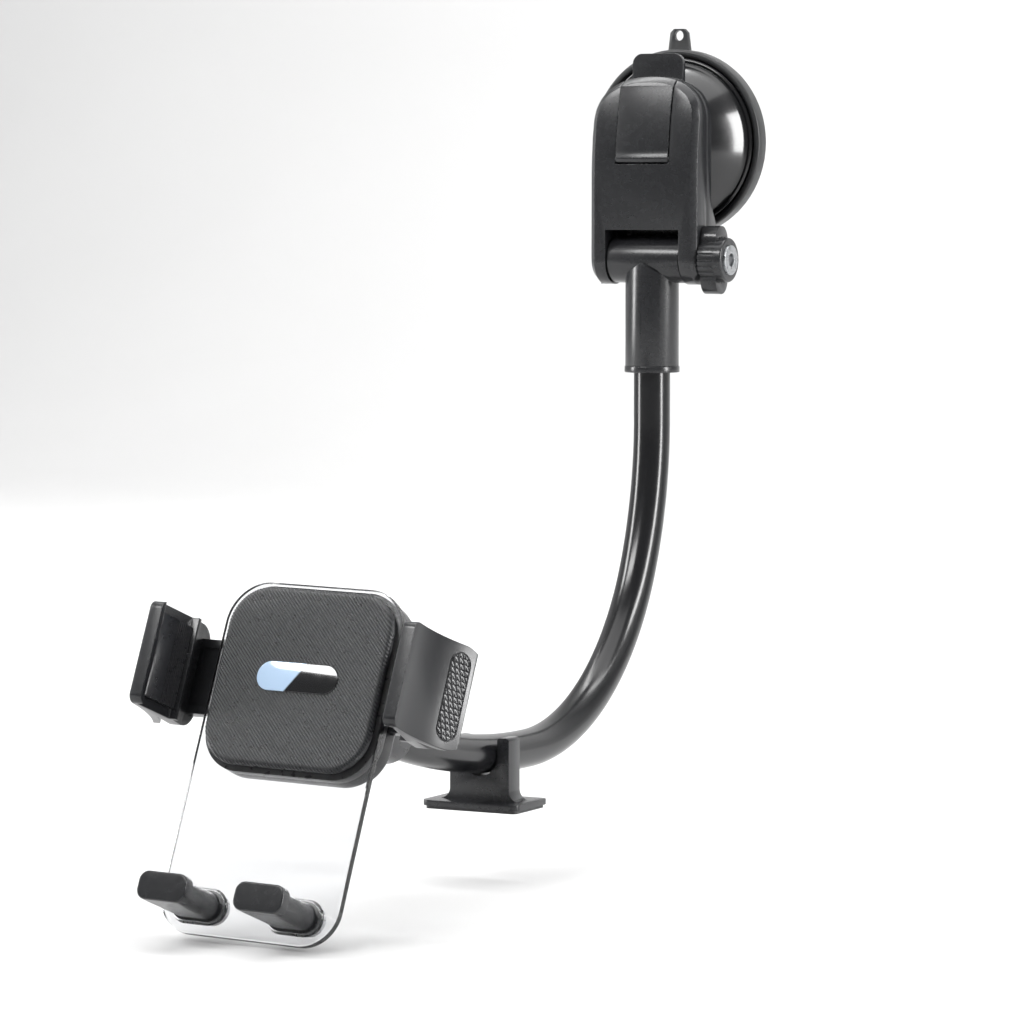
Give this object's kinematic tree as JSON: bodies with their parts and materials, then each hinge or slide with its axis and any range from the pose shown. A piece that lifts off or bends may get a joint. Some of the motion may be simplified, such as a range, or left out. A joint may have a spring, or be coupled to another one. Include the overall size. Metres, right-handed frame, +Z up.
{
  "type": "car phone mount",
  "caption": "Car phone mount: suction base with a lock lever, a tilting stiff gooseneck, a dashboard support and a phone cradle with a clear back plate, spring jaws and feet.",
  "frame": {"origin": "centre of the flat suction face, on the glass", "axes": "+Y into the glass, -Y towards the driver, +X to the driver's right, +Z up"},
  "size_m": [0.1196, 0.3474, 0.3099],
  "materials": {
    "gel_rubber": "satin",
    "gloss_black": "gloss",
    "satin_black": "satin",
    "grey_plastic": "satin",
    "tube_sleeve": "satin",
    "rubber": "matte",
    "pad_rubber": "matte",
    "badge_gloss": "gloss",
    "clear_acrylic": "gloss",
    "steel": "satin",
    "grey_metal": "satin"
  },
  "bodies": {
    "base": {"suction_pad": "gel_rubber", "pressure_cup": "gloss_black", "bracket_housing": "satin_black", "front_cover": "satin_black", "lever_pin": "steel", "cup_screws": "steel", "hinge_bolt": "steel", "friction_washers": "rubber"},
    "lever": {"lock_lever": "satin_black"},
    "stem": {"suction_stem": "satin_black", "stem_spring": "steel"},
    "knob": {"knob": "satin_black", "knob_insert": "grey_metal"},
    "neck": {"neck_tee": "satin_black", "neck_ring": "satin_black", "gooseneck_upper": "tube_sleeve"},
    "arm_lower": {"gooseneck_lower": "tube_sleeve", "end_ferrule": "grey_plastic", "ball_stud": "steel"},
    "support": {"support_foot": "satin_black", "support_pad": "gel_rubber"},
    "ball_seat": {"ball_cup": "grey_plastic"},
    "nut": {"ball_nut": "satin_black"},
    "cradle": {"clear_plate": "clear_acrylic", "front_pad": "pad_rubber", "badge": "badge_gloss", "front_shell": "grey_plastic", "rear_shell": "satin_black", "shell_screws": "steel", "pinion_pin": "steel", "pinion_spring": "steel", "left_foot": "satin_black", "right_foot": "satin_black", "foot_screws": "steel"},
    "left_arm": {"left_slider": "satin_black", "left_jaw": "satin_black", "left_jaw_pad": "pad_rubber"},
    "right_arm": {"right_slider": "satin_black", "right_jaw": "satin_black", "right_jaw_pad": "pad_rubber"},
    "pinion": {"pinion": "grey_plastic"},
    "release_button": {"release_button": "satin_black", "button_spring": "steel"}
  },
  "joints": [
    {"name": "lever_flip", "type": "hinge", "parent": "base", "child": "lever", "pos_m": [0, -0.0336, -0.0062], "axis": [1, 0, 0], "range_deg": [0, 80]},
    {"name": "stem_slide", "type": "slide", "parent": "base", "child": "stem", "axis": [0, 1, 0], "range_m": [0, 0.00251], "deforming": ["stem_spring"]},
    {"name": "knob_turn", "type": "hinge", "parent": "base", "child": "knob", "pos_m": [0.023, -0.0255, -0.0448], "axis": [1, 0, 0], "continuous": true},
    {"name": "neck_tilt", "type": "hinge", "parent": "base", "child": "neck", "pos_m": [0, -0.0255, -0.0448], "axis": [1, 0, 0], "range_deg": [-85, 10]},
    {"name": "neck_flex", "type": "hinge", "parent": "neck", "child": "arm_lower", "pos_m": [0, -0.07882, -0.20877], "axis": [1, 0, 0], "range_deg": [-20, 20]},
    {"name": "support_slide", "type": "slide", "parent": "arm_lower", "child": "support", "axis": [0, 0, -1], "range_m": [0, 0.025]},
    {"name": "ball_tilt", "type": "hinge", "parent": "arm_lower", "child": "ball_seat", "pos_m": [0, -0.26351, -0.19683], "axis": [0.9997, -0.0102, -0.0241], "range_deg": [-20, 32]},
    {"name": "ball_pan", "type": "hinge", "parent": "ball_seat", "child": "nut", "pos_m": [0, -0.26351, -0.19683], "axis": [0.0262, 0.389, 0.9209], "range_deg": [-20, 20]},
    {"name": "cradle_turn", "type": "hinge", "parent": "nut", "child": "cradle", "pos_m": [0, -0.26351, -0.19683], "axis": [0, -0.9212, 0.3891], "continuous": true},
    {"name": "left_arm_slide", "type": "slide", "parent": "cradle", "child": "left_arm", "axis": [-0.9997, 0.0102, 0.0241], "range_m": [-0.011, 0.004]},
    {"name": "right_arm_slide", "type": "slide", "parent": "cradle", "child": "right_arm", "axis": [0.9997, -0.0102, -0.0241], "range_m": [-0.01101, 0.00401]},
    {"name": "pinion_turn", "type": "hinge", "parent": "cradle", "child": "pinion", "pos_m": [0.00009, -0.29074, -0.18164], "axis": [0, -0.9212, 0.3891], "range_deg": [-151, 55.5]},
    {"name": "button_press", "type": "slide", "parent": "cradle", "child": "release_button", "axis": [0, -0.9212, 0.3891], "range_m": [0, 0.0012], "stiffness_N_per_m": 400, "springref_m": -0.0006, "deforming": ["button_spring"]}
  ],
  "couplings": [
    {"joint": "stem_slide", "follows": "lever_flip", "m_per_rad": 0.0017905},
    {"joint": "right_arm_slide", "follows": "left_arm_slide", "ratio": 1},
    {"joint": "pinion_turn", "follows": "left_arm_slide", "rad_per_m": 238.1}
  ]
}
